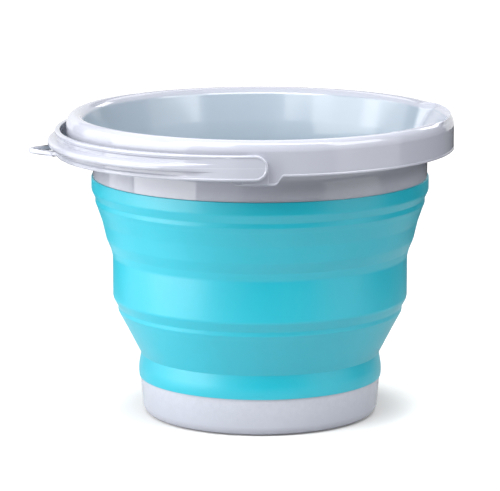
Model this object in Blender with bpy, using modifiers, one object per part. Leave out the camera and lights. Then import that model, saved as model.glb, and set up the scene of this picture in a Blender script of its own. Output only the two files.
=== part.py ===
"""A folding camp bucket: plastic rim, rubber wall with two folding cones, plastic base and bail handle.

Metres, +Z up. The origin is the centre of the underside. The handle lies folded towards -X, the
pouring spout is at +X, and the handle's two pivots are at -Y and +Y.
"""
import math

import bmesh
import bpy
from mathutils import Vector

# Shared by every piece
RING_STEPS = 60
MERGE_DISTANCE = 0.00005
GAP = 0.0003
CUT_OVERRUN = 0.0006
PLASTIC_WALL = 0.0024
RUBBER_WALL = 0.0025
FOLD_WALL = 0.0018
SHARP_ANGLE = math.radians(35)

# Each finish is a colour and a roughness
FINISHES = {
    "base_plastic": ((0.60, 0.63, 0.70), 0.30),
    "rim_plastic": ((0.65, 0.68, 0.75), 0.28),
    "handle_plastic": ((0.66, 0.69, 0.76), 0.28),
    "wall_rubber": ((0.06, 0.50, 0.62), 0.45),
}

# Heights of the stretches of the wall, from the floor up
BASE_HEIGHT = 0.0315
LOWER_BAND_HEIGHT = 0.0194
LOWER_FOLD_HEIGHT = 0.0330
MIDDLE_BAND_HEIGHT = 0.0556
UPPER_FOLD_HEIGHT = 0.0350
UPPER_BAND_HEIGHT = 0.0254
RIM_HEIGHT = 0.0521

# Outer radius at the top of the base, and the steps outwards from there up to the rim
BASE_TOP_RADIUS = 0.1002
LOWER_BAND_STEP = 0.0008
LOWER_NECK_TAPER = 0.0016
LOWER_FOLD_SPREAD = 0.0172
MIDDLE_BEAD_STEP = 0.0018
MIDDLE_CHAMFER_STEP = 0.0041
MIDDLE_NECK_STEP = 0.0016
UPPER_FOLD_SPREAD = 0.0110
UPPER_BEAD_STEP = 0.0016
UPPER_CHAMFER_STEP = 0.0031
COLLAR_STEP = 0.0014
COLLAR_FLARE = 0.0036
FUNNEL_SPREAD = 0.0074
LIP_WIDTH = 0.0135

# Base
BASE_TAPER = 0.0023
BASE_FOOT_FILLET = 0.0080
BASE_FLOOR = 0.0040
BASE_INNER_FILLET = 0.0050
BASE_TONGUE_HEIGHT = 0.0125
FOOT_RING_WIDTH = 0.0080
FOOT_RECESS_DEPTH = 0.0015
FOOT_RECESS_SLOPE = 0.0015
CENTRE_PAD_RADIUS = 0.0260

# Lower band, which bulges just above the base
LOWER_BULGE = 0.0009
LOWER_BULGE_HEIGHT = 0.0050
LOWER_BULGE_FILLET = 0.0150

# Bends of the two folding cones, as shares of the cone's spread and of its height
LOWER_FOLD_BEND_SHARES = (0.66, 0.67)
UPPER_FOLD_BEND_SHARES = (0.33, 0.25)
UPPER_FOLD_HIP_SHARES = (0.63, 0.66)

# Middle band, with the bead and chamfer along its foot
MIDDLE_BEAD_LOW_HEIGHT = 0.0034
MIDDLE_BEAD_HEIGHT = 0.0036
MIDDLE_CHAMFER_HEIGHT = 0.0076
MIDDLE_NECK_HEIGHT = 0.0062

# Upper band, with the bead and chamfer along its foot
UPPER_BEAD_LOW_HEIGHT = 0.0040
UPPER_BEAD_HEIGHT = 0.0040
UPPER_CHAMFER_HEIGHT = 0.0067
UPPER_BAND_FILLET = 0.0012

# Rim
LIP_FLAT = 0.0005
SKIRT_DEPTH = 0.0275
COLLAR_HEIGHT = 0.0078
COLLAR_FLARE_HEIGHT = 0.0058

# Pouring spout, a scoop in the inner side of the lip
SPOUT_DEPTH = 0.0070
SPOUT_DROP = 0.0220
SPOUT_HALF_WIDTH = 0.0500
SPOUT_FLANK_WIDTH = 0.0120

# Pivot seats on the skirt
PIVOT_DROP = 0.0200
SEAT_HALF_WIDTH = 0.0192
SEAT_CORNER = 0.0026
SEAT_DROP = 0.0064
PAD_MARGIN = 0.0056
PAD_THICKNESS = 0.0032
PAD_SINK = 0.0016

# Snap-in pivot pins
PIN_RADIUS = 0.0045
PIN_STEPS = 20
PIN_SHOULDER_LENGTH = 0.0016
PIN_SHOULDER_MARGIN = 0.0008
PIN_SHOULDER_SINK = 0.0006
PIN_HEAD_CLEARANCE = 0.0009
PIN_HEAD_STEP = 0.0011
PIN_HEAD_LENGTH = 0.0035
PIN_HEAD_LAND = 0.0011
PIN_TIP_TAPER = 0.0003
PIN_SLOT_WIDTH = 0.0014
PIN_SLOT_LENGTH = 0.0080

# Handle
HANDLE_STEPS = 30
HANDLE_THICKNESS = 0.0043
HANDLE_HEIGHT = 0.0206
HANDLE_SAG = math.radians(1)
HANDLE_EDGE = 0.0030
HANDLE_EDGE_FILLET = 0.0012
HANDLE_RECESS = 0.0012
HANDLE_RECESS_SLOPE = 0.0010
RIB_REACH = 0.0060
RIB_THICKNESS = 0.0052
RIB_ROOT = 0.0009
RIB_FLAT = 0.0012
RIB_FADE_START = 0.0300
RIB_FADE_LENGTH = 0.0620
HANDLE_END_STEPS = 4
HANDLE_END_BLUNT = math.radians(6)

# Hanging loop on the handle
LOOP_HALF_WIDTH = 0.0230
LOOP_REACH = 0.0266
LOOP_SINK = 0.0028
LOOP_THICKNESS = 0.0048
LOOP_DROP = 0.0016
LOOP_BAR = 0.0034
LOOP_TIP_FILLET = 0.0070
LOOP_HOLE_TIP_FILLET = 0.0036
LOOP_HOLE_FILLET = 0.0020
LOOP_HOLE_SETBACK = 0.0018

# Levels that follow from the sizes above
BASE_TOP = BASE_HEIGHT
BASE_TONGUE_TOP = BASE_TOP + BASE_TONGUE_HEIGHT
LOWER_BAND_TOP = BASE_TOP + LOWER_BAND_HEIGHT
LOWER_FOLD_TOP = LOWER_BAND_TOP + LOWER_FOLD_HEIGHT
MIDDLE_BEAD_LOW = LOWER_FOLD_TOP + MIDDLE_BEAD_LOW_HEIGHT
MIDDLE_BEAD_TOP = MIDDLE_BEAD_LOW + MIDDLE_BEAD_HEIGHT
MIDDLE_BAND_TOP = LOWER_FOLD_TOP + MIDDLE_BAND_HEIGHT
UPPER_FOLD_TOP = MIDDLE_BAND_TOP + UPPER_FOLD_HEIGHT
UPPER_BEAD_LOW = UPPER_FOLD_TOP + UPPER_BEAD_LOW_HEIGHT
UPPER_BEAD_TOP = UPPER_BEAD_LOW + UPPER_BEAD_HEIGHT
UPPER_CHAMFER_TOP = UPPER_BEAD_TOP + UPPER_CHAMFER_HEIGHT
UPPER_BAND_TOP = UPPER_FOLD_TOP + UPPER_BAND_HEIGHT
COLLAR_TOP = UPPER_BAND_TOP + COLLAR_HEIGHT
COLLAR_FLARE_TOP = COLLAR_TOP + COLLAR_FLARE_HEIGHT
RIM_TOP = UPPER_BAND_TOP + RIM_HEIGHT
SKIRT_BOTTOM = RIM_TOP - SKIRT_DEPTH
PIVOT_HEIGHT = RIM_TOP - PIVOT_DROP

# Radii that follow from the sizes above
BASE_FOOT_RADIUS = BASE_TOP_RADIUS - BASE_TAPER
LOWER_BAND_RADIUS = BASE_TOP_RADIUS + LOWER_BAND_STEP
BASE_TONGUE_OUTER = LOWER_BAND_RADIUS - RUBBER_WALL - GAP
BASE_TONGUE_INNER = BASE_TONGUE_OUTER - PLASTIC_WALL
LOWER_NECK_RADIUS = LOWER_BAND_RADIUS - LOWER_NECK_TAPER
MIDDLE_FOOT_RADIUS = LOWER_NECK_RADIUS + LOWER_FOLD_SPREAD
MIDDLE_BEAD_RADIUS = MIDDLE_FOOT_RADIUS + MIDDLE_BEAD_STEP
MIDDLE_BAND_RADIUS = MIDDLE_BEAD_RADIUS + MIDDLE_CHAMFER_STEP
MIDDLE_NECK_RADIUS = MIDDLE_BAND_RADIUS + MIDDLE_NECK_STEP
UPPER_FOOT_RADIUS = MIDDLE_NECK_RADIUS + UPPER_FOLD_SPREAD
UPPER_BEAD_RADIUS = UPPER_FOOT_RADIUS + UPPER_BEAD_STEP
UPPER_BAND_RADIUS = UPPER_BEAD_RADIUS + UPPER_CHAMFER_STEP
RIM_TONGUE_OUTER = UPPER_BAND_RADIUS - RUBBER_WALL - GAP
RIM_TONGUE_INNER = RIM_TONGUE_OUTER - PLASTIC_WALL
COLLAR_RADIUS = UPPER_BAND_RADIUS - COLLAR_STEP
COLLAR_FLARE_RADIUS = COLLAR_RADIUS + COLLAR_FLARE
FUNNEL_OUTER_RADIUS = COLLAR_FLARE_RADIUS + FUNNEL_SPREAD
LIP_INNER_RADIUS = FUNNEL_OUTER_RADIUS - PLASTIC_WALL
RIM_RADIUS = LIP_INNER_RADIUS + LIP_WIDTH
SKIRT_INNER_RADIUS = RIM_RADIUS - PLASTIC_WALL
PAD_FACE = RIM_RADIUS + PAD_THICKNESS
HANDLE_INNER_RADIUS = PAD_FACE + PIN_SHOULDER_LENGTH
HANDLE_OUTER_RADIUS = HANDLE_INNER_RADIUS + HANDLE_THICKNESS
LIP_FILLET = (LIP_WIDTH - LIP_FLAT) / 2
HANDLE_HALF_HEIGHT = HANDLE_HEIGHT / 2
PIN_HEAD_RADIUS = PIN_RADIUS + PIN_HEAD_STEP
PIN_HEAD_FACE = SKIRT_INNER_RADIUS - PIN_HEAD_CLEARANCE
PIN_TIP = PIN_HEAD_FACE - PIN_HEAD_LENGTH


def rounded_outline(corners):
    """Points of an outline. A corner is (x, z), or (x, z, fillet radius, steps) where it is round."""
    points = []
    for index, corner in enumerate(corners):
        here = Vector(corner[:2])
        if len(corner) == 2:
            points.append(here)
            continue
        fillet, steps = corner[2:]
        to_last = (Vector(corners[index - 1][:2]) - here).normalized()
        to_next = (Vector(corners[(index + 1) % len(corners)][:2]) - here).normalized()
        half_angle = to_last.angle(to_next) / 2
        centre = here + (to_last + to_next).normalized() * fillet / math.sin(half_angle)
        reach = fillet / math.tan(half_angle)
        first = (here + to_last * reach - centre).normalized()
        last = (here + to_next * reach - centre).normalized()
        points += [centre + first.slerp(last, step / steps) * fillet for step in range(steps + 1)]
    return points


def ease(value):
    """A smooth step from 0 to 1."""
    value = min(max(value, 0), 1)
    return value * value * (3 - 2 * value)


def ramp(value, start, end):
    """How far a value has come from start to end, from 0 to 1."""
    return min(max((value - start) / (end - start), 0), 1)


def finish_material(name):
    colour, roughness = FINISHES[name]
    material = bpy.data.materials.new(name)
    material.use_nodes = True
    shader = material.node_tree.nodes["Principled BSDF"]
    shader.inputs["Base Color"].default_value = (*colour, 1)
    shader.inputs["Roughness"].default_value = roughness
    shader.inputs["Metallic"].default_value = 0
    return material


def add_object(name, mesh, collection, parent=None, material=None):
    piece = bpy.data.objects.new(name, mesh)
    collection.objects.link(piece)
    piece.parent = parent
    if material is not None:
        mesh.materials.append(material)
    return piece


def add_frame(name, collection, parent, height):
    """An empty on the bucket's axis at the given height, for a body that moves."""
    frame = bpy.data.objects.new(name, None)
    collection.objects.link(frame)
    frame.parent = parent
    frame.location.z = height - (parent.matrix_world.translation.z if parent else 0)
    bpy.context.view_layer.update()
    return frame


def add_guide(name, bm, collection, parent):
    """A helper solid for a Boolean: it shows as a wire and never renders."""
    mesh = bpy.data.meshes.new(name)
    bmesh.ops.recalc_face_normals(bm, faces=bm.faces)
    bm.to_mesh(mesh)
    bm.free()
    guide = add_object(name, mesh, collection, parent)
    guide.display_type = "WIRE"
    guide.hide_render = True
    return guide


def add_boolean(piece, guide, operation):
    cut = piece.modifiers.new(f"{operation.title()} {guide.name}", "BOOLEAN")
    cut.operation = operation
    cut.solver = "EXACT"
    cut.object = guide


def add_turned(name, corners, collection, frame, material, closed=True):
    """A piece turned round the bucket's axis. Its outline runs down the outer side first."""
    piece = add_object(name, bpy.data.meshes.new(name), collection, frame, material)
    height = frame.matrix_world.translation.z
    vertices = [(x, 0, z - height) for x, z in rounded_outline(corners)]
    edges = [(index, index + 1) for index in range(len(vertices) - 1)]
    if closed:
        edges.append((len(vertices) - 1, 0))
    piece.data.from_pydata(vertices, edges, [])
    turn = piece.modifiers.new("Turn", "SCREW")
    turn.axis = "Z"
    turn.steps = RING_STEPS
    turn.render_steps = RING_STEPS
    turn.use_merge_vertices = True
    turn.merge_threshold = MERGE_DISTANCE
    turn.use_smooth_shade = True
    return piece


def bake(piece):
    """Turn the piece's modifiers into its mesh, so that its points can be shaped."""
    mesh = bpy.data.meshes.new_from_object(piece.evaluated_get(bpy.context.evaluated_depsgraph_get()))
    piece.modifiers.clear()
    piece.data = mesh


def add_prism(bm, outline, start, end, direction, place):
    """A flat outline pushed from start to end along a direction, where place makes a point of it."""
    loop = [bm.verts.new(Vector(place(x, z)) + Vector(direction) * start) for x, z in outline]
    face = bm.faces.new(loop)
    grown = bmesh.ops.extrude_face_region(bm, geom=[face])["geom"]
    moved = [part for part in grown if isinstance(part, bmesh.types.BMVert)]
    bmesh.ops.translate(bm, verts=moved, vec=Vector(direction) * (end - start))


def build_base(collection, frame):
    foot_ring_inner = BASE_FOOT_RADIUS - BASE_FOOT_FILLET - FOOT_RING_WIDTH
    corners = [
        (0, BASE_FLOOR),
        (BASE_FOOT_RADIUS - PLASTIC_WALL, BASE_FLOOR, BASE_INNER_FILLET, 3),
        (BASE_TONGUE_INNER, BASE_TONGUE_TOP),
        (BASE_TONGUE_OUTER, BASE_TONGUE_TOP),
        (BASE_TONGUE_OUTER, BASE_TOP),
        (BASE_TOP_RADIUS, BASE_TOP),
        (BASE_FOOT_RADIUS, 0, BASE_FOOT_FILLET, 4),
        (foot_ring_inner, 0),
        (foot_ring_inner - FOOT_RECESS_SLOPE, FOOT_RECESS_DEPTH),
        (CENTRE_PAD_RADIUS + FOOT_RECESS_SLOPE, FOOT_RECESS_DEPTH),
        (CENTRE_PAD_RADIUS, 0),
        (0, 0),
    ]
    return add_turned("base", corners, collection, frame, finish_material("base_plastic"), closed=False)


def build_lower_band(collection, frame, material):
    """The stiff ring of the wall that grips the base's tongue."""
    top = LOWER_BAND_TOP - GAP
    corners = [
        (LOWER_NECK_RADIUS, top),
        (LOWER_BAND_RADIUS + LOWER_BULGE, BASE_TOP + LOWER_BULGE_HEIGHT, LOWER_BULGE_FILLET, 3),
        (LOWER_BAND_RADIUS, BASE_TOP + GAP),
        (BASE_TONGUE_OUTER + GAP, BASE_TOP + GAP),
        (BASE_TONGUE_OUTER + GAP, BASE_TONGUE_TOP + GAP),
        (BASE_TONGUE_INNER, BASE_TONGUE_TOP + GAP),
        (LOWER_NECK_RADIUS - RUBBER_WALL, top),
    ]
    return add_turned("lower_band", corners, collection, frame, material)


def fold_point(radius, height, spread, rise, shares):
    return (radius + spread * shares[0], height + rise * shares[1])


def build_lower_fold(collection, frame, material):
    outer = [
        (MIDDLE_FOOT_RADIUS, LOWER_FOLD_TOP - GAP),
        fold_point(LOWER_NECK_RADIUS, LOWER_BAND_TOP, LOWER_FOLD_SPREAD, LOWER_FOLD_HEIGHT,
                   LOWER_FOLD_BEND_SHARES),
        (LOWER_NECK_RADIUS, LOWER_BAND_TOP),
    ]
    inner = [(radius - FOLD_WALL, height) for radius, height in reversed(outer)]
    return add_turned("lower_fold", outer + inner, collection, frame, material)


def build_middle_band(collection, frame, material):
    outer = [
        (MIDDLE_NECK_RADIUS, MIDDLE_BAND_TOP - GAP),
        (MIDDLE_BAND_RADIUS, MIDDLE_BAND_TOP - MIDDLE_NECK_HEIGHT),
        (MIDDLE_BAND_RADIUS, MIDDLE_BEAD_TOP + MIDDLE_CHAMFER_HEIGHT),
        (MIDDLE_BEAD_RADIUS, MIDDLE_BEAD_TOP),
        (MIDDLE_BEAD_RADIUS, MIDDLE_BEAD_LOW),
        (MIDDLE_FOOT_RADIUS, LOWER_FOLD_TOP),
    ]
    inner = [(radius - RUBBER_WALL, height) for radius, height in reversed(outer)]
    return add_turned("middle_band", outer + inner, collection, frame, material)


def build_upper_fold(collection, frame, material):
    start = (MIDDLE_NECK_RADIUS, MIDDLE_BAND_TOP, UPPER_FOLD_SPREAD, UPPER_FOLD_HEIGHT)
    outer = [
        (UPPER_FOOT_RADIUS, UPPER_FOLD_TOP - GAP),
        fold_point(*start, UPPER_FOLD_HIP_SHARES),
        fold_point(*start, UPPER_FOLD_BEND_SHARES),
        (MIDDLE_NECK_RADIUS, MIDDLE_BAND_TOP),
    ]
    inner = [(radius - FOLD_WALL, height) for radius, height in reversed(outer)]
    return add_turned("upper_fold", outer + inner, collection, frame, material)


def build_upper_band(collection, frame, material):
    """The stiff ring of the wall that grips the rim's tongue, with its bead along its foot."""
    top = UPPER_BAND_TOP - GAP
    corners = [
        (UPPER_BAND_RADIUS, top, UPPER_BAND_FILLET, 2),
        (UPPER_BAND_RADIUS, UPPER_CHAMFER_TOP),
        (UPPER_BEAD_RADIUS, UPPER_BEAD_TOP),
        (UPPER_BEAD_RADIUS, UPPER_BEAD_LOW),
        (UPPER_FOOT_RADIUS, UPPER_FOLD_TOP),
        (UPPER_FOOT_RADIUS - RUBBER_WALL, UPPER_FOLD_TOP),
        (UPPER_BEAD_RADIUS - RUBBER_WALL, UPPER_BEAD_LOW),
        (UPPER_BEAD_RADIUS - RUBBER_WALL, UPPER_BEAD_TOP),
        (RIM_TONGUE_INNER, UPPER_CHAMFER_TOP - GAP),
        (RIM_TONGUE_OUTER + GAP, UPPER_CHAMFER_TOP - GAP),
        (RIM_TONGUE_OUTER + GAP, top),
    ]
    return add_turned("upper_band", corners, collection, frame, material)


def rim_corners():
    """The rim's section: over the lip, down the skirt, back up inside it and down to the tongue."""
    inside_top = RIM_TOP - PLASTIC_WALL
    inside_fillet = LIP_FILLET - PLASTIC_WALL
    return [
        (RIM_RADIUS, RIM_TOP, LIP_FILLET, 4),
        (RIM_RADIUS, SKIRT_BOTTOM),
        (SKIRT_INNER_RADIUS, SKIRT_BOTTOM),
        (SKIRT_INNER_RADIUS, inside_top, inside_fillet, 2),
        (FUNNEL_OUTER_RADIUS, inside_top, inside_fillet, 2),
        (COLLAR_FLARE_RADIUS, COLLAR_FLARE_TOP),
        (COLLAR_RADIUS, COLLAR_TOP),
        (COLLAR_RADIUS, UPPER_BAND_TOP),
        (RIM_TONGUE_OUTER, UPPER_BAND_TOP),
        (RIM_TONGUE_OUTER, UPPER_CHAMFER_TOP),
        (RIM_TONGUE_INNER, UPPER_CHAMFER_TOP),
        (COLLAR_RADIUS - PLASTIC_WALL, COLLAR_TOP),
        (COLLAR_FLARE_RADIUS - PLASTIC_WALL, COLLAR_FLARE_TOP),
        (LIP_INNER_RADIUS, RIM_TOP, LIP_FILLET, 4),
    ]


def scoop_spout(bm, height):
    """Push the inner wall outwards under the lip at +X, so that the lip gets narrow there."""
    bottom = RIM_TOP - SPOUT_DROP - height
    top = RIM_TOP - LIP_FILLET - height
    for vert in bm.verts:
        radius = vert.co.xy.length
        across = abs(math.atan2(vert.co.y, vert.co.x)) * LIP_INNER_RADIUS
        beside = 1 - ramp(across, SPOUT_HALF_WIDTH, SPOUT_HALF_WIDTH + SPOUT_FLANK_WIDTH)
        above = ramp(vert.co.z, bottom, top)
        through = 1 - ramp(radius, FUNNEL_OUTER_RADIUS, SKIRT_INNER_RADIUS)
        push = SPOUT_DEPTH * beside * above * through
        vert.co.x *= (radius + push) / radius
        vert.co.y *= (radius + push) / radius


def skirt_faces(bm, side, height):
    """The faces of the skirt's two walls round the pivot on one side."""
    search = SEAT_HALF_WIDTH + SEAT_CORNER + RIM_RADIUS * math.tau / RING_STEPS
    lip_bottom = RIM_TOP - LIP_FILLET - height
    found = []
    for face in bm.faces:
        near = all(abs(vert.co.x) < search and vert.co.y * side > 0 for vert in face.verts)
        low = all(vert.co.z < lip_bottom + GAP for vert in face.verts)
        outside = all(vert.co.xy.length > SKIRT_INNER_RADIUS - GAP for vert in face.verts)
        if near and low and outside:
            found.append(face)
    return found


def lower_seat_tabs(bm, height):
    """Draw the skirt's lower edge down into a tab with rounded steps under each pivot."""
    widths = [SEAT_HALF_WIDTH - SEAT_CORNER, SEAT_HALF_WIDTH, SEAT_HALF_WIDTH + SEAT_CORNER]
    for side in (-1, 1):
        for turn in [sign * width / RIM_RADIUS for sign in (-1, 1) for width in widths]:
            faces = skirt_faces(bm, side, height)
            edges = list({edge for face in faces for edge in face.edges})
            verts = list({vert for face in faces for vert in face.verts})
            normal = Vector((math.cos(turn), -side * math.sin(turn), 0))
            bmesh.ops.bisect_plane(bm, geom=verts + edges + faces, plane_co=(0, 0, 0), plane_no=normal)
    for vert in bm.verts:
        if vert.co.xy.length > SKIRT_INNER_RADIUS - GAP and abs(vert.co.z - SKIRT_BOTTOM + height) < GAP:
            across = abs(math.atan2(vert.co.x, abs(vert.co.y))) * RIM_RADIUS
            vert.co.z -= SEAT_DROP * (1 - ease(ramp(across, widths[0], widths[-1])))


def seat_pad_outline():
    """A pad with a half-round top round the pivot and straight sides down to the tab's edge."""
    radius = PIN_RADIUS + PAD_MARGIN
    foot = SKIRT_BOTTOM - SEAT_DROP + GAP - PIVOT_HEIGHT
    steps = PIN_STEPS // 2
    turns = [math.pi * step / steps for step in range(steps + 1)]
    arc = [(radius * math.cos(turn), radius * math.sin(turn)) for turn in turns]
    return [*arc, (-radius, foot), (radius, foot)]


def build_rim(collection, cutters, frame):
    rim = add_turned("rim", rim_corners(), collection, frame, finish_material("rim_plastic"))
    bake(rim)
    height = frame.matrix_world.translation.z
    pivot = PIVOT_HEIGHT - height
    bm = bmesh.new()
    bm.from_mesh(rim.data)
    scoop_spout(bm, height)
    lower_seat_tabs(bm, height)
    bm.to_mesh(rim.data)
    bm.free()
    pads = bmesh.new()
    holes = bmesh.new()
    turns = [math.tau * step / PIN_STEPS for step in range(PIN_STEPS)]
    hole_radius = PIN_RADIUS + GAP
    hole_outline = [(hole_radius * math.cos(turn), hole_radius * math.sin(turn)) for turn in turns]
    for side in (-1, 1):
        add_prism(pads, seat_pad_outline(), RIM_RADIUS - PAD_SINK, PAD_FACE, (0, side, 0),
                  lambda x, z: (x, 0, z + pivot))
        add_prism(holes, hole_outline, SKIRT_INNER_RADIUS - PLASTIC_WALL, PAD_FACE + CUT_OVERRUN,
                  (0, side, 0), lambda x, z: (x, 0, z + pivot))
    add_boolean(rim, add_guide("pivot_pads", pads, cutters, frame), "UNION")
    add_boolean(rim, add_guide("pivot_holes", holes, cutters, frame), "DIFFERENCE")
    return rim


def handle_section():
    """The bail's section: a plate with a bead along each edge and one rib along its middle."""
    outer = HANDLE_OUTER_RADIUS
    web = outer - HANDLE_RECESS
    half = HANDLE_HALF_HEIGHT
    rib = RIB_THICKNESS / 2
    bead = half - HANDLE_EDGE
    above = [
        (outer, half, HANDLE_EDGE_FILLET, 2),
        (outer, bead),
        (web, bead - HANDLE_RECESS_SLOPE),
        (web, rib + RIB_ROOT),
        (outer + RIB_REACH, rib, (RIB_THICKNESS - RIB_FLAT) / 2, 3),
    ]
    below = [(corner[0], -corner[1], *corner[2:]) for corner in reversed(above)]
    return rounded_outline(above + below + [(HANDLE_INNER_RADIUS, -half), (HANDLE_INNER_RADIUS, half)])


def fade_section(bm):
    """Flatten the rib and the recesses towards the handle's two ends."""
    face_radius = HANDLE_OUTER_RADIUS - HANDLE_RECESS - GAP
    for vert in bm.verts:
        radius = vert.co.xy.length
        if radius < face_radius or abs(vert.co.z) > HANDLE_HALF_HEIGHT - HANDLE_EDGE + GAP:
            continue
        along = (math.pi / 2 - abs(math.atan2(vert.co.y, -vert.co.x))) * HANDLE_OUTER_RADIUS
        share = ease(ramp(along, RIB_FADE_START, RIB_FADE_START + RIB_FADE_LENGTH))
        wanted = HANDLE_OUTER_RADIUS + (radius - HANDLE_OUTER_RADIUS) * share
        vert.co.x *= wanted / radius
        vert.co.y *= wanted / radius


def round_end(bm, face):
    """Carry the bail's end face past the pivot as a half-round end."""
    reach = 0
    scale = 1
    for step in range(1, HANDLE_END_STEPS + 1):
        turn = (math.pi / 2 - HANDLE_END_BLUNT) * step / HANDLE_END_STEPS
        grown = bmesh.ops.extrude_face_region(bm, geom=[face])["geom"]
        bmesh.ops.delete(bm, geom=[face], context="FACES_ONLY")
        face = [part for part in grown if isinstance(part, bmesh.types.BMFace)][0]
        bmesh.ops.translate(bm, verts=face.verts,
                            vec=(HANDLE_HALF_HEIGHT * math.sin(turn) - reach, 0, 0))
        bmesh.ops.scale(bm, verts=face.verts, vec=(1, 1, math.cos(turn) / scale))
        reach = HANDLE_HALF_HEIGHT * math.sin(turn)
        scale = math.cos(turn)


def swept_bail():
    """The bail as a mesh: its section turned half round the bucket, with its two round ends."""
    bm = bmesh.new()
    face = bm.faces.new([bm.verts.new((0, -x, z)) for x, z in handle_section()])
    swept = bmesh.ops.spin(bm, geom=[face, *face.edges, *face.verts], cent=(0, 0, 0), axis=(0, 0, 1),
                           angle=-math.pi, steps=HANDLE_STEPS, use_duplicate=False)
    last = [part for part in swept["geom_last"] if isinstance(part, bmesh.types.BMFace)][0]
    fade_section(bm)
    first = [item for item in bm.faces
             if item is not last and all(abs(vert.co.x) < MERGE_DISTANCE for vert in item.verts)]
    for end in [*first, last]:
        round_end(bm, end)
    bmesh.ops.recalc_face_normals(bm, faces=bm.faces)
    mesh = bpy.data.meshes.new("handle")
    bm.to_mesh(mesh)
    bm.free()
    return mesh


def pin_outline():
    """A snap-in pivot pin along its axis: shoulder, shank, head and tip, as (radius, distance)."""
    shoulder_radius = HANDLE_HALF_HEIGHT - PIN_SHOULDER_MARGIN
    return [
        (0, HANDLE_INNER_RADIUS + PIN_SHOULDER_SINK),
        (shoulder_radius, HANDLE_INNER_RADIUS + PIN_SHOULDER_SINK),
        (shoulder_radius, PAD_FACE + GAP),
        (PIN_RADIUS, PAD_FACE + GAP),
        (PIN_RADIUS, PIN_HEAD_FACE),
        (PIN_HEAD_RADIUS, PIN_HEAD_FACE),
        (PIN_HEAD_RADIUS, PIN_HEAD_FACE - PIN_HEAD_LAND),
        (PIN_RADIUS - PIN_TIP_TAPER, PIN_TIP),
        (0, PIN_TIP),
    ]


def add_pin(bm, side):
    points = [bm.verts.new((radius, side * distance, 0)) for radius, distance in pin_outline()]
    edges = [bm.edges.new(pair) for pair in zip(points, points[1:])]
    bmesh.ops.spin(bm, geom=points + edges, cent=(0, 0, 0), axis=(0, 1, 0), angle=math.tau,
                   steps=PIN_STEPS, use_merge=True, use_duplicate=False)


def loop_outline(inset, tip_fillet, root, corner_fillet=0):
    """The hanging loop's triangle, drawn in by an inset from its two slanted sides."""
    tip = HANDLE_OUTER_RADIUS + LOOP_REACH
    foot = HANDLE_OUTER_RADIUS - LOOP_SINK
    slope = LOOP_HALF_WIDTH / (tip - foot)
    tip -= inset * math.hypot(1, slope) / slope
    half_width = (tip - root) * slope
    rounding = (corner_fillet, 2) if corner_fillet else ()
    return rounded_outline([
        (-root, -half_width, *rounding),
        (-tip, 0, tip_fillet, 6),
        (-root, half_width, *rounding),
    ])


def build_handle(collection, cutters, frame):
    handle = add_object("handle", swept_bail(), collection, frame, finish_material("handle_plastic"))
    adds = bmesh.new()
    cuts = bmesh.new()
    half_slot = PIN_SLOT_WIDTH / 2
    reach = PIN_HEAD_RADIUS + CUT_OVERRUN
    slot = [(-half_slot, -reach), (half_slot, -reach), (half_slot, reach), (-half_slot, reach)]
    for side in (-1, 1):
        add_pin(adds, side)
        add_prism(cuts, slot, PIN_TIP - CUT_OVERRUN, PIN_TIP + PIN_SLOT_LENGTH, (0, side, 0),
                  lambda x, z: (x, 0, z))
    bottom = -HANDLE_HALF_HEIGHT - LOOP_DROP
    top = bottom + LOOP_THICKNESS
    plate = loop_outline(0, LOOP_TIP_FILLET, HANDLE_OUTER_RADIUS - LOOP_SINK)
    hole = loop_outline(LOOP_BAR, LOOP_HOLE_TIP_FILLET, HANDLE_OUTER_RADIUS + LOOP_HOLE_SETBACK,
                        LOOP_HOLE_FILLET)
    add_prism(adds, plate, bottom, top, (0, 0, 1), lambda x, y: (x, y, 0))
    add_prism(cuts, hole, bottom - CUT_OVERRUN, top + CUT_OVERRUN, (0, 0, 1), lambda x, y: (x, y, 0))
    add_boolean(handle, add_guide("handle_pins_and_loop", adds, cutters, frame), "UNION")
    add_boolean(handle, add_guide("handle_cuts", cuts, cutters, frame), "DIFFERENCE")
    return handle


def main():
    for item in list(bpy.data.objects):
        bpy.data.objects.remove(item)
    bucket = bpy.data.collections.new("camp_bucket")
    cutters = bpy.data.collections.new("cutters")
    bpy.context.scene.collection.children.link(bucket)
    bpy.context.scene.collection.children.link(cutters)
    rubber = finish_material("wall_rubber")
    base_frame = add_frame("base_frame", bucket, None, 0)
    middle_frame = add_frame("middle_frame", bucket, base_frame, LOWER_FOLD_TOP)
    rim_frame = add_frame("rim_frame", bucket, middle_frame, UPPER_FOLD_TOP)
    handle_frame = add_frame("handle_frame", bucket, rim_frame, PIVOT_HEIGHT)
    handle_frame.rotation_euler.y = -HANDLE_SAG
    pieces = [
        build_base(bucket, base_frame),
        build_lower_band(bucket, base_frame, rubber),
        build_lower_fold(bucket, base_frame, rubber),
        build_middle_band(bucket, middle_frame, rubber),
        build_upper_fold(bucket, middle_frame, rubber),
        build_upper_band(bucket, rim_frame, rubber),
        build_rim(bucket, cutters, rim_frame),
        build_handle(bucket, cutters, handle_frame),
    ]
    for piece in pieces:
        piece.data.shade_smooth()
        piece.data.set_sharp_from_angle(angle=SHARP_ANGLE)


main()
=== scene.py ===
import math

import bmesh
import bpy
from mathutils import Matrix, Vector


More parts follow.
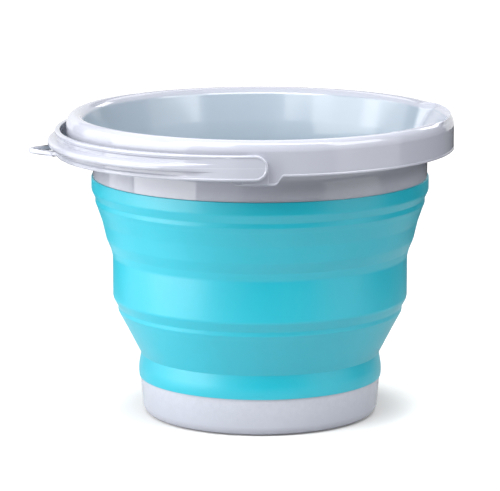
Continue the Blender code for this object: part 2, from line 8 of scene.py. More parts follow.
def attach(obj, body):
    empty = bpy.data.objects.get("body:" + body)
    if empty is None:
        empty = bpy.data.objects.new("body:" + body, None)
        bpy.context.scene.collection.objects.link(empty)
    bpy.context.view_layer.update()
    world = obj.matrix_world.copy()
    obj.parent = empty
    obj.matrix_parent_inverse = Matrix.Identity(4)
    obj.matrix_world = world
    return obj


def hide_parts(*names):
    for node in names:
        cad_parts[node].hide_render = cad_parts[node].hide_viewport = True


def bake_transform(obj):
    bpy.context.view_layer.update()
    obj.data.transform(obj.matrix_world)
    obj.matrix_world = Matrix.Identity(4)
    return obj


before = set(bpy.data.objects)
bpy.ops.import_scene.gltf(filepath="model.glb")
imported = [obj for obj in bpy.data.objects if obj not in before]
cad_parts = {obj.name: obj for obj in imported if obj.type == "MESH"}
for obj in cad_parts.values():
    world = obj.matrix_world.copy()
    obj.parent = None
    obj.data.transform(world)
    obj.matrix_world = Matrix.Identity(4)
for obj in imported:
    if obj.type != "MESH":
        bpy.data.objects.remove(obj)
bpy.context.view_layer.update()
scene = bpy.context.scene
scene.view_settings.view_transform = "Standard"
mm = 0.001  # the sizes below are in millimetres
weld = 0.002 * mm  # points closer than this become one
hair = 0.001 * mm  # a point this near a plane lies on it
longEdge = 4 * mm  # a straight longer than this is cut where it has to bend
sharpFrom = math.radians(50)  # edges sharper than this are shaded as edges
cornerAngle = 0.9  # radians; edges sharper than this get a rounding


def toMesh(name, bm):
    mesh = bpy.data.meshes.new(name)
    bm.to_mesh(mesh)
    bm.free()
    return mesh


def addObject(name, data):
    item = bpy.data.objects.new(name, data)
    scene.collection.objects.link(item)
    return item


def newPiece(name, bm, material, node, body=None):
    bmesh.ops.remove_doubles(bm, verts=bm.verts, dist=weld)
    bmesh.ops.recalc_face_normals(bm, faces=bm.faces)
    mesh = toMesh(name, bm)
    mesh.shade_smooth()
    mesh.set_sharp_from_angle(angle=sharpFrom)
    mesh.materials.append(material)
    piece = addObject(name, mesh)
    weighted = piece.modifiers.new("Even shading", "WEIGHTED_NORMAL")
    weighted.keep_sharp = True
    if body:
        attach(piece, body)
    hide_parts(node)
    print("made", name, len(mesh.polygons), "faces")
    return piece


def roundOff(bm, parts, size, steps, affect="EDGES"):
    bmesh.ops.bevel(bm, geom=parts, affect=affect, offset=size * mm, segments=steps, profile=0.5, material=-1)


def thicken(bm, faces, thick):
    # grows level faces upwards into a plate
    grown = bmesh.ops.extrude_face_region(bm, geom=faces, use_keep_orig=True)["geom"]
    moved = [part for part in grown if isinstance(part, bmesh.types.BMVert)]
    bmesh.ops.translate(bm, verts=moved, vec=(0, 0, thick))


def roundedOutline(corners):
    # a flat face in the XZ plane; a corner is (radius, height) or (radius, height, rounding, segments)
    bm = bmesh.new()
    points = [bm.verts.new((corner[0] * mm, 0, corner[1] * mm)) for corner in corners]
    bm.faces.new(points)
    for point, corner in zip(points, corners):
        if len(corner) > 2:
            roundOff(bm, [point], corner[2], corner[3], "VERTICES")
    return bm


def turned(corners, steps, cuts=0):
    # the outline turned round the bucket's axis
    bm = roundedOutline(corners)
    bmesh.ops.delete(bm, geom=bm.faces[:], context="FACES_ONLY")
    axis = [edge for edge in bm.edges if all(vert.co.x < hair for vert in edge.verts)]
    bmesh.ops.delete(bm, geom=axis, context="EDGES")
    if cuts:
        straights = [edge for edge in bm.edges if edge.calc_length() > longEdge]
        bmesh.ops.subdivide_edges(bm, edges=straights, cuts=cuts)
    bmesh.ops.spin(bm, geom=bm.verts[:] + bm.edges[:], cent=(0, 0, 0), axis=(0, 0, 1),
                   angle=math.tau, steps=steps, use_merge=True, use_duplicate=False)
    return bm


def walled(outer, thick):
    # the outline of a wall: its outer face, and back along the inner one
    return outer + [(corner[0] - thick, *corner[1:]) for corner in reversed(outer)]


def joinMesh(bm, part):
    mesh = toMesh("joined", part)
    bm.from_mesh(mesh)
    bpy.data.meshes.remove(mesh)


def share(value, start, end):
    return min(max((value - start) / (end - start), 0), 1)


def eased(value):
    return value * value * (3 - 2 * value)


def newGroup(name, inputs, outputs):
    # a node group whose sockets carry plain values
    group = bpy.data.node_groups.new(name, "ShaderNodeTree")
    for label, value in inputs.items():
        socket = group.interface.new_socket(label, in_out="INPUT", socket_type="NodeSocketFloat")
        socket.default_value = value
    for label in outputs:
        group.interface.new_socket(label, in_out="OUTPUT", socket_type="NodeSocketFloat")
    return group, group.nodes.new("NodeGroupInput").outputs, group.nodes.new("NodeGroupOutput").inputs


def placeGroup(tree, group, values):
    node = tree.nodes.new("ShaderNodeGroup")
    node.node_tree = group
    for label, value in values.items():
        node.inputs[label].default_value = value
    return node.outputs


def objectPlace(tree):
    return tree.nodes.new("ShaderNodeTexCoord").outputs["Object"]


def addMath(tree, operation, first, second=None, clamp=False):
    node = tree.nodes.new("ShaderNodeMath")
    node.operation = operation
    node.use_clamp = clamp
    for socket, value in zip(node.inputs, (first, second)):
        if isinstance(value, (int, float)):
            socket.default_value = value
        elif value is not None:
            tree.links.new(value, socket)
    return node.outputs[0]


def addSum(tree, first, second):
    return addMath(tree, "ADD", first, second)


def addProduct(tree, first, second, clamp=False):
    return addMath(tree, "MULTIPLY", first, second, clamp)


def addNoise(tree, scale, detail, roughness=0.5):
    node = tree.nodes.new("ShaderNodeTexNoise")
    node.inputs["Detail"].default_value = detail
    node.inputs["Roughness"].default_value = roughness
    tree.links.new(objectPlace(tree), node.inputs["Vector"])
    if isinstance(scale, (int, float)):
        node.inputs["Scale"].default_value = scale
    else:
        tree.links.new(scale, node.inputs["Scale"])
    return node.outputs["Fac"]


def addRange(tree, value, low, high, toLow=0.0, toHigh=1.0, smooth=False):
    node = tree.nodes.new("ShaderNodeMapRange")
    node.interpolation_type = "SMOOTHSTEP" if smooth else "LINEAR"
    node.inputs["From Min"].default_value = low
    node.inputs["From Max"].default_value = high
    node.inputs["To Min"].default_value = toLow
    node.inputs["To Max"].default_value = toHigh
    tree.links.new(value, node.inputs["Value"])
    return node.outputs["Result"]


def addVector(tree, operation, first, second=None):
    node = tree.nodes.new("ShaderNodeVectorMath")
    node.operation = operation
    tree.links.new(first, node.inputs[0])
    if isinstance(second, tuple):
        node.inputs[1].default_value = second
    elif second is not None:
        tree.links.new(second, node.inputs[1])
    return node.outputs["Value" if operation in ("DOT_PRODUCT", "LENGTH") else "Vector"]


def addMix(tree, mask, first, second, mode="MIX"):
    node = tree.nodes.new("ShaderNodeMix")
    node.data_type = "RGBA"
    node.blend_type = mode
    colourSockets = [item for item in node.inputs if item.type == "RGBA"]
    for socket, value in zip((node.inputs[0], *colourSockets), (mask, first, second)):
        if isinstance(value, tuple):
            socket.default_value = (*value, 1.0)
        else:
            tree.links.new(value, socket)
    return [item for item in node.outputs if item.type == "RGBA"][0]


mouldGrain = {
    "fineDetail": 3.0, "fineRoughness": 0.6, "fineShare": 0.7, "coarseScale": 0.22, "coarseDetail": 2.0,
    "mottleDetail": 4.0, "mottleRoughness": 0.55, "mottleFrom": 0.3, "mottleTo": 0.7,
    "smearScale": 3.1, "smearDetail": 5.0, "smearRoughness": 0.65, "smearFrom": 0.42, "smearTo": 0.7,
}


def makeSkinGroup():
    # the fine spark-eroded skin of a mould, and the slow mottle of the resin
    grain = mouldGrain
    group, given, made = newGroup(
        "mouldSkin", {"Grain Scale": 1800.0, "Mottle Scale": 14.0}, ("Height", "Mottle", "Smear"))
    fine = addNoise(group, given["Grain Scale"], grain["fineDetail"], grain["fineRoughness"])
    coarseScale = addProduct(group, given["Grain Scale"], grain["coarseScale"])
    coarse = addNoise(group, coarseScale, grain["coarseDetail"])
    fine = addProduct(group, fine, grain["fineShare"])
    coarse = addProduct(group, coarse, 1 - grain["fineShare"])
    group.links.new(addSum(group, fine, coarse), made["Height"])
    mottle = addNoise(group, given["Mottle Scale"], grain["mottleDetail"], grain["mottleRoughness"])
    mottle = addRange(group, mottle, grain["mottleFrom"], grain["mottleTo"])
    group.links.new(mottle, made["Mottle"])
    smearScale = addProduct(group, given["Mottle Scale"], grain["smearScale"])
    smear = addNoise(group, smearScale, grain["smearDetail"], grain["smearRoughness"])
    smear = addRange(group, smear, grain["smearFrom"], grain["smearTo"], smooth=True)
    group.links.new(smear, made["Smear"])
    return group


# the edge values paint convex edges paler, a painted highlight with some rubbed wear; the hollow values paint
# shade into creases
edgeGlintAndShade = {
    "edgeGain": 14.0, "breakDetail": 4.0, "breakRoughness": 0.7, "breakFrom": 0.35, "breakTo": 0.65,
    "leastKept": 0.55, "hollowFrom": 0.485, "hollowGain": 10.0,
}


def makeEdgeLightGroup():
    # convex edges painted paler, a painted highlight with some rubbed wear, stronger and weaker along their
    # length, and painted shade in the hollows between
    edgeLight = edgeGlintAndShade
    group, given, made = newGroup(
        "edgeGlintAndHollowShade", {"Sharpness": 0.52, "Break Up": 160.0}, ("Mask", "Hollow Shade"))
    pointed = group.nodes.new("ShaderNodeNewGeometry").outputs["Pointiness"]
    edge = addMath(group, "SUBTRACT", pointed, given["Sharpness"])
    edge = addProduct(group, edge, edgeLight["edgeGain"], clamp=True)
    broken = addNoise(group, given["Break Up"], edgeLight["breakDetail"], edgeLight["breakRoughness"])
    broken = addRange(group, broken, edgeLight["breakFrom"], edgeLight["breakTo"], edgeLight["leastKept"])
    group.links.new(addProduct(group, edge, broken), made["Mask"])
    hollowShade = addMath(group, "SUBTRACT", edgeLight["hollowFrom"], pointed)
    group.links.new(addProduct(group, hollowShade, edgeLight["hollowGain"], clamp=True), made["Hollow Shade"])
    return group


fineDust = {
    "facingFrom": 0.35, "facingFull": 1.0, "speckScale": 420.0, "speckDetail": 6.0, "speckRoughness": 0.7,
    "speckFrom": 0.5, "speckFull": 0.72,
}


def makeDustGroup():
    # a breath of dust on what faces up
    dust = fineDust
    group, given, made = newGroup("settledDust", {"Amount": 0.1}, ("Mask",))
    facing = group.nodes.new("ShaderNodeSeparateXYZ")
    group.links.new(group.nodes.new("ShaderNodeNewGeometry").outputs["Normal"], facing.inputs[0])
    upward = addRange(group, facing.outputs["Z"], dust["facingFrom"], dust["facingFull"])
    specks = addNoise(group, dust["speckScale"], dust["speckDetail"], dust["speckRoughness"])
    specks = addRange(group, specks, dust["speckFrom"], dust["speckFull"])
    settled = addProduct(group, upward, specks)
    group.links.new(addProduct(group, settled, given["Amount"]), made["Mask"])
    return group


inwardFacing = {"from": -0.80, "full": -0.97}  # cosines between a normal and the way out from the axis


def makeInwardGroup():
    # how far a face looks towards the bucket's axis; there the rubber wall's light thrown back is painted on
    # as a tint
    group, given, made = newGroup("looksInward", {}, ("Mask",))
    flat = addVector(group, "MULTIPLY", objectPlace(group), (1, 1, 0))
    outward = addVector(group, "NORMALIZE", flat)
    normal = group.nodes.new("ShaderNodeNewGeometry").outputs["Normal"]
    along = addVector(group, "DOT_PRODUCT", normal, outward)
    inward = addRange(group, along, inwardFacing["from"], inwardFacing["full"], smooth=True)
    group.links.new(inward, made["Mask"])
    return group


def makePartingGroup():
    # the thin line that the two halves of a mould leave round a moulding
    group, given, made = newGroup(
        "mouldParting", {"Level": 0.0, "Tilt": 0.0, "Half Width": 0.0002}, ("Line",))
    place = group.nodes.new("ShaderNodeSeparateXYZ")
    group.links.new(objectPlace(group), place.inputs[0])
    leaning = addProduct(group, place.outputs["X"], given["Tilt"])
    level = addSum(group, given["Level"], leaning)
    off = addMath(group, "SUBTRACT", place.outputs["Z"], level)
    off = addMath(group, "DIVIDE", addMath(group, "ABSOLUTE", off), given["Half Width"])
    group.links.new(addMath(group, "SUBTRACT", 1.0, off, clamp=True), made["Line"])
    return group


mouldSkin = makeSkinGroup()
edgeGlintAndHollowShade = makeEdgeLightGroup()
settledDust = makeDustGroup()
looksInward = makeInwardGroup()
mouldParting = makePartingGroup()
print("made the shared node groups")

# what the looks share; the parting line's half width and every bump's depth are in millimetres
finish = {
    "dustColour": (0.72, 0.71, 0.69), "dustMatt": 0.4, "edgeMatt": 0.15,
    "partingHalf": 0.22, "partingPale": 0.25,
}
# the edge colour and amount paint a highlight along convex edges, with some rubbed wear; the hollow colour
# paints shade into creases and hollows
plasticLook = {
    "colour": (0.338, 0.350, 0.405), "mottleColour": (0.356, 0.368, 0.422), "mottleScale": 11.0,
    "grainScale": 1500.0, "bump": 0.10, "bumpDepth": 0.04,
    "roughness": 0.08, "roughSpread": 0.03,
    "glintFrom": 0.53, "glintScale": 210.0, "edgeLight": 0.57, "paleEdgeColour": (0.72, 0.74, 0.80),
    "hollowShade": 0.30, "hollowShadeColour": (0.29, 0.31, 0.37), "dust": 0.05,
    "shader": {"IOR": 1.49, "Specular IOR Level": 0.5},
}
rubberLook = {
    "colour": (0.003, 0.330, 0.424), "mottleColour": (0.006, 0.356, 0.452), "mottleScale": 9.0,
    "grainScale": 1100.0, "bump": 0.10, "bumpDepth": 0.04,
    "roughness": 0.35, "roughSpread": 0.06,
    "glintFrom": 0.54, "glintScale": 170.0, "edgeLight": 0.06, "paleEdgeColour": (0.10, 0.52, 0.62),
    "hollowShade": 0.45, "hollowShadeColour": (0.004, 0.20, 0.28), "dust": 0.03,
    "shader": {"IOR": 1.46, "Specular IOR Level": 0.70, "Sheen Weight": 0.08, "Sheen Roughness": 0.40},
}


def newMaterial(name):
    material = bpy.data.materials.new(name)
    material.use_nodes = True
    tree = material.node_tree
    return material, tree, tree.nodes["Principled BSDF"]


def makeMaterial(name, look):
    material, tree, shader = newMaterial(name)
    scales = {"Grain Scale": look["grainScale"], "Mottle Scale": look["mottleScale"]}
    skin = placeGroup(tree, mouldSkin, scales)
    edgeLight = placeGroup(tree, edgeGlintAndHollowShade, {"Sharpness": look["glintFrom"], "Break Up": look["glintScale"]})
    dust = placeGroup(tree, settledDust, {"Amount": look["dust"]})["Mask"]
    colour = addMix(tree, skin["Mottle"], look["colour"], look["mottleColour"])
    # painted shade in creases and hollows
    colour = addMix(tree, addProduct(tree, edgeLight["Hollow Shade"], look["hollowShade"]), colour, look["hollowShadeColour"])
    rough = addSum(tree, addProduct(tree, skin["Smear"], look["roughSpread"]), look["roughness"])
    # inward faces are tinted: a painted reflection of light bounced off the rubber wall
    if "inside" in look:
        inward = placeGroup(tree, looksInward, {})["Mask"]
        colour = addMix(tree, inward, colour, look["inside"], "MULTIPLY")
        rough = addSum(tree, rough, addProduct(tree, inward, look["insideMatt"]))
    # convex edges painted paler: a painted highlight, with some rubbed wear
    edgeGlint = addProduct(tree, edgeLight["Mask"], look["edgeLight"])
    colour = addMix(tree, edgeGlint, colour, look["paleEdgeColour"])
    rough = addSum(tree, rough, addProduct(tree, edgeGlint, finish["edgeMatt"]))
    colour = addMix(tree, dust, colour, finish["dustColour"])
    rough = addSum(tree, rough, addProduct(tree, dust, finish["dustMatt"]))
    height = skin["Height"]
    if "parting" in look:
        line = placeGroup(tree, mouldParting, look["parting"])["Line"]
        height = addSum(tree, height, addProduct(tree, line, look["partingHeight"]))
        colour = addMix(tree, addProduct(tree, line, finish["partingPale"]), colour, look["paleEdgeColour"])
    bump = tree.nodes.new("ShaderNodeBump")
    bump.inputs["Strength"].default_value = look["bump"]
    bump.inputs["Distance"].default_value = look["bumpDepth"] * mm
    tree.links.new(height, bump.inputs["Height"])
    tree.links.new(bump.outputs["Normal"], shader.inputs["Normal"])
    tree.links.new(colour, shader.inputs["Base Color"])
    tree.links.new(rough, shader.inputs["Roughness"])
    for label, value in look["shader"].items():
        shader.inputs[label].default_value = value
    return material


rim = {
    "steps": 320,
    "outline": [
        (156.5, 252.0, 3.4, 6), (160.1, 246.3, 3.2, 6),
        (160.1, 225.7, 0.2, 2), (160.45, 225.3, 0.25, 2), (160.45, 223.8, 0.5, 3), (158.1, 223.8, 0.5, 2),
        (158.1, 249.6, 4.0, 3), (149.4, 249.6, 3.4, 3),
        (138.6, 216.0, 3.5, 6), (138.4, 199.9), (137.0, 199.9),
        (137.0, 189.2, 0.4, 2), (134.6, 189.2, 0.4, 2), (136.2, 216.6, 9.0, 8), (147.0, 252.0, 6.0, 8),
    ],
    "funnelOuter": 149.4, "skirtInner": 158.1, "skirtMargin": 0.4, "lipInner": 147.0, "outer": 160.1,
    "spoutPush": 7.0, "spoutFrom": 230.0, "spoutFull": 245.5, "spoutHalf": 50.0, "spoutFlank": 12.0,
    "skirtBottom": 223.8, "skirtBead": 2.3, "lipRoot": 246.0,
    "tabHalf": 18.7, "tabCorner": 3.4, "tabDrop": 7.0, "tabCuts": 8, "tabReach": 32.0,
    "pivot": 232.0, "padRadius": 10.1, "padSteps": 64, "padFace": 163.7, "padSink": 1.6, "padFoot": -13.4,
    "padCrown": 0.86, "padRound": 0.35, "padRoundSteps": 2, "padMerge": 0.01,
    "holeRadius": 4.8, "holeSteps": 48,
}


def shapeSpout(bm):
    # the lip narrows at +X, where the inner wall is pushed outwards
    for vert in bm.verts:
        radius = vert.co.xy.length / mm
        across = abs(math.atan2(vert.co.y, vert.co.x)) * rim["lipInner"]
        beside = 1 - share(across, rim["spoutHalf"], rim["spoutHalf"] + rim["spoutFlank"])
        above = share(vert.co.z / mm, rim["spoutFrom"], rim["spoutFull"])
        through = 1 - share(radius, rim["funnelOuter"], rim["skirtInner"])
        push = rim["spoutPush"] * beside * above * through
        vert.co.xy *= (radius + push) / radius


def onSkirt(place):
    return place.xy.length > (rim["skirtInner"] - rim["skirtMargin"]) * mm


def nearTab(place, side):
    besidePivot = place.y * side > 0 and abs(place.x) < rim["tabReach"] * mm
    return onSkirt(place) and besidePivot and place.z < rim["lipRoot"] * mm


def shapeTabs(bm):
    # the skirt's edge comes down in a tab with rounded steps below each pivot
    low = rim["tabHalf"] - rim["tabCorner"]
    high = rim["tabHalf"] + rim["tabCorner"]
    cuts = [low + (high - low) * step / rim["tabCuts"] for step in range(rim["tabCuts"] + 1)]
    for side in (-1, 1):
        for turn in [sign * cut / rim["outer"] for sign in (-1, 1) for cut in cuts]:
            faces = [face for face in bm.faces if nearTab(face.calc_center_median(), side)]
            parts = list({part for face in faces for part in (*face.verts, *face.edges)}) + faces
            bmesh.ops.bisect_plane(bm, geom=parts, plane_co=(0, 0, 0),
                                   plane_no=(math.cos(turn), -side * math.sin(turn), 0))
    beadTop = (rim["skirtBottom"] + rim["skirtBead"]) * mm
    for vert in bm.verts:
        if onSkirt(vert.co) and vert.co.z < beadTop:
            across = abs(math.atan2(vert.co.x, abs(vert.co.y))) * rim["outer"]
            vert.co.z -= rim["tabDrop"] * mm * (1 - eased(share(across, low, high)))


def addPivotPads(bm):
    # a raised pad with a flattened half-round top and straight sides round each pivot hole
    radius = rim["padRadius"] * mm
    sunk = (rim["outer"] - rim["padSink"]) * mm
    depth = rim["padFace"] * mm - sunk
    for side in (-1, 1):
        pad = bmesh.new()
        disc = bmesh.ops.create_circle(pad, segments=rim["padSteps"], radius=radius, cap_ends=True)
        bmesh.ops.create_circle(pad, segments=rim["holeSteps"], radius=rim["holeRadius"] * mm)
        for vert in disc["verts"]:
            if vert.co.y < -hair:
                vert.co.y = rim["padFoot"] * mm
                vert.co.x = math.copysign(radius, vert.co.x) if abs(vert.co.x) > rim["padMerge"] * mm else 0
            else:
                vert.co.y *= rim["padCrown"]
        bmesh.ops.delete(pad, geom=pad.faces[:], context="FACES_ONLY")
        bmesh.ops.remove_doubles(pad, verts=disc["verts"], dist=rim["padMerge"] * mm)
        bmesh.ops.triangle_fill(pad, edges=pad.edges[:], use_beauty=True, use_dissolve=False)
        thicken(pad, pad.faces[:], depth)
        outerEdges = [edge for edge in pad.edges if all(vert.co.z > depth / 2 for vert in edge.verts)
                      and edge.calc_face_angle(0) > cornerAngle]
        roundOff(pad, outerEdges, rim["padRound"], rim["padRoundSteps"])
        bmesh.ops.rotate(pad, verts=pad.verts, matrix=Matrix.Rotation(math.radians(90), 3, "X"))
        bmesh.ops.scale(pad, verts=pad.verts, vec=(1, -side, 1))  # newPiece puts its normals right
        bmesh.ops.translate(pad, verts=pad.verts, vec=(0, side * sunk, rim["pivot"] * mm))
        joinMesh(bm, pad)


def buildRim(material):
    bm = turned(rim["outline"], rim["steps"])
    shapeSpout(bm)
    shapeTabs(bm)
    addPivotPads(bm)
    newPiece("rimShell", bm, material, "rim", "rim")


handle = {
    "steps": 150, "endSteps": 40, "sag": math.radians(1), "pivot": 232.0,
    "inner": 165.3, "outer": 169.2, "half": 10.3, "edge": 3.0, "edgeRound": 1.3, "backRound": 0.6,
    "beadProud": 0.35, "beadWidth": 1.9, "beadRound": 0.25, "beadFoot": 2.3, "footRound": 0.2,
    "recess": 1.2, "recessRound": 0.3, "slope": 1.0,
    "rib": 2.6, "ribRoot": 0.9, "ribRootRound": 0.5, "ribReach": 6.4, "ribRound": 2.0,
    "fadeFrom": 30.0, "fadeLength": 62.0, "fadeMargin": 0.4,
    "loopHalf": 23.0, "loopReach": 26.4, "loopSink": 2.8, "loopBar": 3.4, "loopThick": 4.4, "loopDrop": 1.4,
    "loopTip": 8.2, "loopTipSteps": 8, "loopRound": 1.1, "loopRoundSteps": 3, "holeSetback": 1.8,
}
pin = {
    "steps": 48,
    "outline": [
        (0, 165.9), (9.5, 165.9), (9.5, 164.0), (4.5, 164.0), (4.5, 157.2),
        (5.6, 157.2), (5.6, 156.1), (4.2, 153.7), (0, 153.7),
    ],
}


def bailSection():
    outer, half = handle["outer"], handle["half"]
    proud = outer + handle["beadProud"]
    web = outer - handle["recess"]
    edge = half - handle["edge"]
    rib = outer + handle["ribReach"]
    above = [
        (proud, half, handle["edgeRound"], 5),
        (proud, half - handle["beadWidth"], handle["beadRound"], 2),
        (outer, half - handle["beadFoot"], handle["footRound"], 2),
        (outer, edge, handle["footRound"], 2),
        (web, edge - handle["slope"], handle["recessRound"], 2),
        (web, handle["rib"] + handle["ribRoot"], handle["ribRootRound"], 3),
        (rib, handle["rib"], handle["ribRound"], 5),
    ]
    below = [(corner[0], -corner[1], *corner[2:]) for corner in reversed(above)]
    inner, backRound = handle["inner"], handle["backRound"]
    back = [(inner, -half, backRound, 2), (inner, 0), (inner, half, backRound, 2)]
    return roundedOutline(above + [(rib, 0)] + below + back)


def fadeRib(section):
    # the rib and the recesses fade towards the ends
    outer = handle["outer"]
    webInner = outer - handle["recess"] - handle["fadeMargin"]
    beadLevel = handle["half"] - handle["edge"] + handle["fadeMargin"]
    for vert in section.verts:
        radius = vert.co.xy.length / mm
        if radius < webInner or abs(vert.co.z) > beadLevel * mm:
            continue
        along = (math.pi / 2 - abs(math.atan2(vert.co.y, -vert.co.x))) * outer
        kept = eased(share(along, handle["fadeFrom"], handle["fadeFrom"] + handle["fadeLength"]))
        vert.co.xy *= (outer + (radius - outer) * kept) / radius


def addBail(bm):
    section = bailSection()
    bmesh.ops.delete(section, geom=section.faces[:], context="FACES_ONLY")
    bmesh.ops.rotate(section, verts=section.verts, matrix=Matrix.Rotation(math.radians(-90), 3, "Z"))
    bmesh.ops.spin(section, geom=section.verts[:] + section.edges[:], cent=(0, 0, 0), axis=(0, 0, 1),
                   angle=-math.pi, steps=handle["steps"], use_duplicate=False)
    fadeRib(section)
    for side in (-1, 1):  # each end turns round its pivot
        ends = [vert for vert in section.verts
                if abs(vert.co.x) < hair and vert.co.y * side > 0 and vert.co.z > -hair]
        chain = [edge for edge in section.edges if all(vert in ends for vert in edge.verts)]
        bmesh.ops.spin(section, geom=ends + chain, cent=(0, 0, 0), axis=(0, 1, 0), angle=math.pi,
                       steps=handle["endSteps"], use_duplicate=False)
    joinMesh(bm, section)


def addLoop(bm):
    # a triangle with a round tip and an eye, made while nothing else is in the mesh
    tip = handle["outer"] + handle["loopReach"]
    foot = handle["outer"] - handle["loopSink"]
    holeFoot = handle["outer"] + handle["holeSetback"]
    bottom = -handle["half"] - handle["loopDrop"]
    corners = ((foot, -handle["loopHalf"]), (tip, 0), (foot, handle["loopHalf"]))
    points = [bm.verts.new((-x * mm, y * mm, bottom * mm)) for x, y in corners]
    bm.faces.new(points)
    roundOff(bm, [points[1]], handle["loopTip"], handle["loopTipSteps"], "VERTICES")
    eye = bm.faces[:][0]
    inset = bmesh.ops.inset_region(bm, faces=[eye], thickness=handle["loopBar"] * mm, use_boundary=True)
    for vert in eye.verts:
        vert.co.x = min(vert.co.x, -holeFoot * mm)
    ring = inset["faces"]
    bmesh.ops.delete(bm, geom=[eye], context="FACES_ONLY")
    thicken(bm, ring, handle["loopThick"] * mm)
    sharp = [edge for edge in bm.edges if edge.calc_face_angle(0) > cornerAngle]
    roundOff(bm, sharp, handle["loopRound"], handle["loopRoundSteps"])


def addPins(bm):
    for side in (-1, 1):
        points = [bm.verts.new((x * mm, side * y * mm, 0)) for x, y in pin["outline"]]
        edges = [bm.edges.new(pair) for pair in zip(points, points[1:])]
        bmesh.ops.spin(bm, geom=points + edges, cent=(0, 0, 0), axis=(0, 1, 0), angle=math.tau,
                       steps=pin["steps"], use_merge=True, use_duplicate=False)


def buildHandle(material):
    bm = bmesh.new()
    addLoop(bm)
    addBail(bm)
    addPins(bm)
    bmesh.ops.rotate(bm, verts=bm.verts, matrix=Matrix.Rotation(-handle["sag"], 3, "Y"))
    bmesh.ops.translate(bm, verts=bm.verts, vec=(0, 0, handle["pivot"] * mm))
    newPiece("bailHandle", bm, material, "handle", "handle")


base = {
    "steps": 240,
    "outline": [
        (0, 4.0), (95.5, 4.0, 4.6, 6), (95.8, 44.0, 0.4, 2), (98.2, 44.0, 0.4, 2), (98.2, 31.5),
        (100.2, 31.5), (97.9, 0, 7.4, 9), (81.9, 0, 0.3, 2), (80.4, 1.5, 0.3, 2),
        (27.5, 1.5, 0.3, 2), (26.0, 0, 0.3, 2), (0, 0),
    ],
}


def buildBase(material):
    bm = turned(base["outline"], base["steps"])
    newPiece("baseShell", bm, material, "base", "base")


# the outer face's radius and height where each fold meets its bands
lowerStart, lowerEnd = (99.4, 50.9), (116.6, 83.9)
upperStart, upperEnd = (124.1, 139.5), (135.1, 174.5)
wall = {
    "steps": 256, "foldThick": 1.8, "foldCuts": 5,
    "lowerBand": [
        lowerStart, (101.9, 36.5, 5.5, 8), (101.0, 31.45, 0.4, 3), (98.5, 31.45),
        (98.5, 44.3), (95.8, 44.3), (96.9, 50.9),
    ],
    "lowerFold": [lowerEnd, (110.75, 73.0, 1.0, 4), lowerStart],
    "middleBand": [
        upperStart, (122.5, 133.3, 1.4, 4), (122.5, 98.5, 1.6, 5), (118.4, 90.9, 0.7, 4),
        (118.4, 87.3, 0.7, 4), lowerEnd, (114.1, 83.9), (115.9, 87.3, 0.7, 2), (115.9, 90.9, 0.7, 2),
        (120.0, 98.5, 1.6, 3), (120.0, 133.3, 1.4, 3), (121.6, 139.5),
    ],
    "upperFold": [upperEnd, (131.03, 162.6, 1.2, 4), (127.73, 148.25, 1.2, 4), upperStart],
    "upperBand": [
        (139.8, 199.95, 0.7, 4), (139.8, 189.2, 1.2, 5), (136.7, 182.5, 0.7, 4), (136.7, 178.5, 0.7, 4),
        upperEnd, (132.6, 174.5), (134.2, 178.5, 0.7, 2), (134.2, 182.5, 0.7, 2), (134.6, 188.9),
        (137.3, 188.9), (137.3, 199.95),
    ],
}


def buildWall(material):
    for name, body, node, outline in (
            ("lowerBandRubber", "base", "lower_band", "lowerBand"),
            ("middleBandRubber", "middle", "middle_band", "middleBand"),
            ("upperBandRubber", "rim", "upper_band", "upperBand")):
        newPiece(name, turned(wall[outline], wall["steps"]), material, node, body)
    for name, node, outline, lower, upper, start, end in (
            ("lowerFoldRubber", "lower_fold", "lowerFold", "base", "middle", lowerStart[1], lowerEnd[1]),
            ("upperFoldRubber", "upper_fold", "upperFold", "middle", "rim", upperStart[1], upperEnd[1])):
        bm = turned(walled(wall[outline], wall["foldThick"]), wall["steps"], wall["foldCuts"])
        piece = newPiece(name, bm, material, node)
        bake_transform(piece)


# the rim's inside tint is painted bounce light from the rubber wall
rimLook = {**plasticLook, "inside": (0.79, 0.89, 0.90), "insideMatt": 0.05}
partingLine = {
    "Level": handle["pivot"] * mm, "Tilt": math.tan(handle["sag"]), "Half Width": finish["partingHalf"] * mm,
}
handleLook = {**plasticLook, "parting": partingLine, "partingHeight": 0.9}
buildRim(makeMaterial("rimPlastic", rimLook))
buildHandle(makeMaterial("handlePlastic", handleLook))
buildBase(makeMaterial("basePlastic", plasticLook))
buildWall(makeMaterial("wallRubber", rubberLook))

stage = {
    # lengths in metres; the glow is light painted on the floor for the camera only, given from near the
    # bucket to far from it
    "floorRadius": 0.5, "floorSides": 96, "floorColour": (0.65, 0.65, 0.65), "floorRoughness": 0.7,
    "floorGloss": 0.1, "glowFrom": 0.103, "glowTo": 0.155, "glowNear": 0.09, "glowFar": 0.57,
    "ambient": 0.03, "backdrop": 1.2, "aimHeight": 0.12,
}
softboxes = {
    # azimuth from the camera's side (left is minus) and angle above the floor in degrees,
    # then distance, width and height in metres, and brightness
    "leftBox": (-66, 8, 1.5, 1.44, 1.5, 4.65),
    "leftInner": (-25, 8, 1.6, 0.86, 1.5, 0.7),
    "leftOuter": (-107, 8, 1.5, 0.74, 1.5, 1.6),
    "rightBox": (66, 8, 1.5, 1.20, 1.5, 1.2),
    "leftHigh": (-36, 40, 1.9, 1.1, 0.7, 5.0),
    "rightHigh": (64, 38, 1.9, 1.0, 0.7, 6.4),
    "nearFront": (-3, 62, 0.8, 0.9, 0.3, 10.0),
    "backHigh": (180, 45, 1.9, 1.4, 0.6, 2.2),
    "leftLow": (-95, 28, 1.9, 1.0, 0.6, 3.2),
    "backRight": (146, 30, 1.9, 0.5, 0.4, 6.0),
    "backWall": (180, 10, 1.9, 3.2, 1.0, 0.9),
}
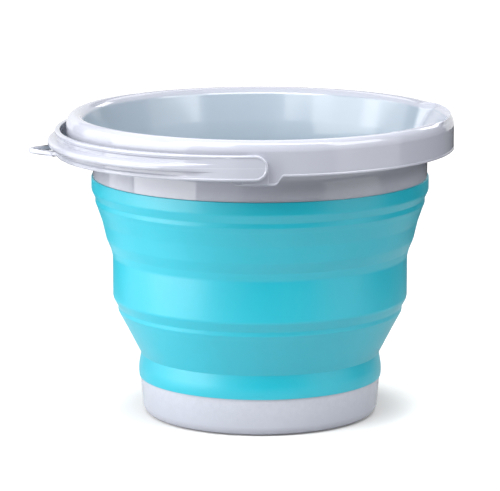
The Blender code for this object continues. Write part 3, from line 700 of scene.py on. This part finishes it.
photoView = {
    # the sensor in millimetres, the distances in metres and the angles in radians
    "focalPixels": 3176.4, "picturePixels": 500, "sensor": 36, "near": 0.05, "far": 30,
    "distance": 2.6, "height": 0.6299, "azimuth": 0.0223, "down": 0.1864, "aside": 0.0032,
}


def cameraRay(tree):
    return tree.nodes.new("ShaderNodeLightPath").outputs["Is Camera Ray"]


def buildFloor():
    bm = bmesh.new()
    bmesh.ops.create_circle(bm, cap_ends=True, segments=stage["floorSides"], radius=stage["floorRadius"])
    floor = addObject("paleFloor", toMesh("paleFloor", bm))
    material, tree, shader = newMaterial("paleFloor")
    shader.inputs["Base Color"].default_value = (*stage["floorColour"], 1)
    shader.inputs["Roughness"].default_value = stage["floorRoughness"]
    shader.inputs["Specular IOR Level"].default_value = stage["floorGloss"]
    # away from the bucket a glow painted on the floor, seen only by the camera, washes out the cast shadows;
    # near the bucket it stays weak
    away = addVector(tree, "LENGTH", objectPlace(tree))
    glow = addRange(tree, away, stage["glowFrom"], stage["glowTo"], stage["glowNear"], stage["glowFar"],
                    smooth=True)
    shader.inputs["Emission Color"].default_value = (1, 1, 1, 1)
    tree.links.new(addProduct(tree, cameraRay(tree), glow), shader.inputs["Emission Strength"])
    floor.data.materials.append(material)


def buildWorld():
    # plain white to look at, and nearly dark to the lighting
    world = bpy.data.worlds.new("studio")
    scene.world = world
    world.use_nodes = True
    tree = world.node_tree
    tree.nodes.clear()
    strength = addRange(tree, cameraRay(tree), 0.0, 1.0, stage["ambient"], stage["backdrop"])
    background = tree.nodes.new("ShaderNodeBackground")
    background.inputs["Color"].default_value = (1, 1, 1, 1)
    tree.links.new(strength, background.inputs["Strength"])
    output = tree.nodes.new("ShaderNodeOutputWorld")
    tree.links.new(background.outputs[0], output.inputs["Surface"])


def buildLights():
    middle = Vector((0, 0, stage["aimHeight"]))
    for name, (azimuth, climb, distance, wide, tall, brightness) in softboxes.items():
        light = bpy.data.lights.new(name, "AREA")
        light.shape = "RECTANGLE"
        light.size = wide
        light.size_y = tall
        light.energy = brightness * math.pi * wide * tall
        lamp = addObject(name, light)
        turn, rise = math.radians(azimuth), math.radians(climb)
        away = Vector((math.sin(turn) * math.cos(rise), -math.cos(turn) * math.cos(rise), math.sin(rise)))
        lamp.location = middle + away * distance
        lamp.rotation_euler = (-away).to_track_quat("-Z", "Y").to_euler()
        lamp.visible_camera = False


def buildCamera():
    # fitted to the photograph's five circles
    data = bpy.data.cameras.new("photoCamera")
    data.sensor_width = photoView["sensor"]
    data.lens = photoView["focalPixels"] / photoView["picturePixels"] * photoView["sensor"]
    data.clip_start = photoView["near"]
    data.clip_end = photoView["far"]
    camera = addObject("photoCamera", data)
    turn, distance = photoView["azimuth"], photoView["distance"]
    camera.location = (distance * math.sin(turn), -distance * math.cos(turn), photoView["height"])
    camera.rotation_euler = (math.pi / 2 - photoView["down"], 0, turn + photoView["aside"])
    scene.camera = camera


buildFloor()
buildWorld()
buildLights()
buildCamera()
print("made the stage, the lights and the camera")
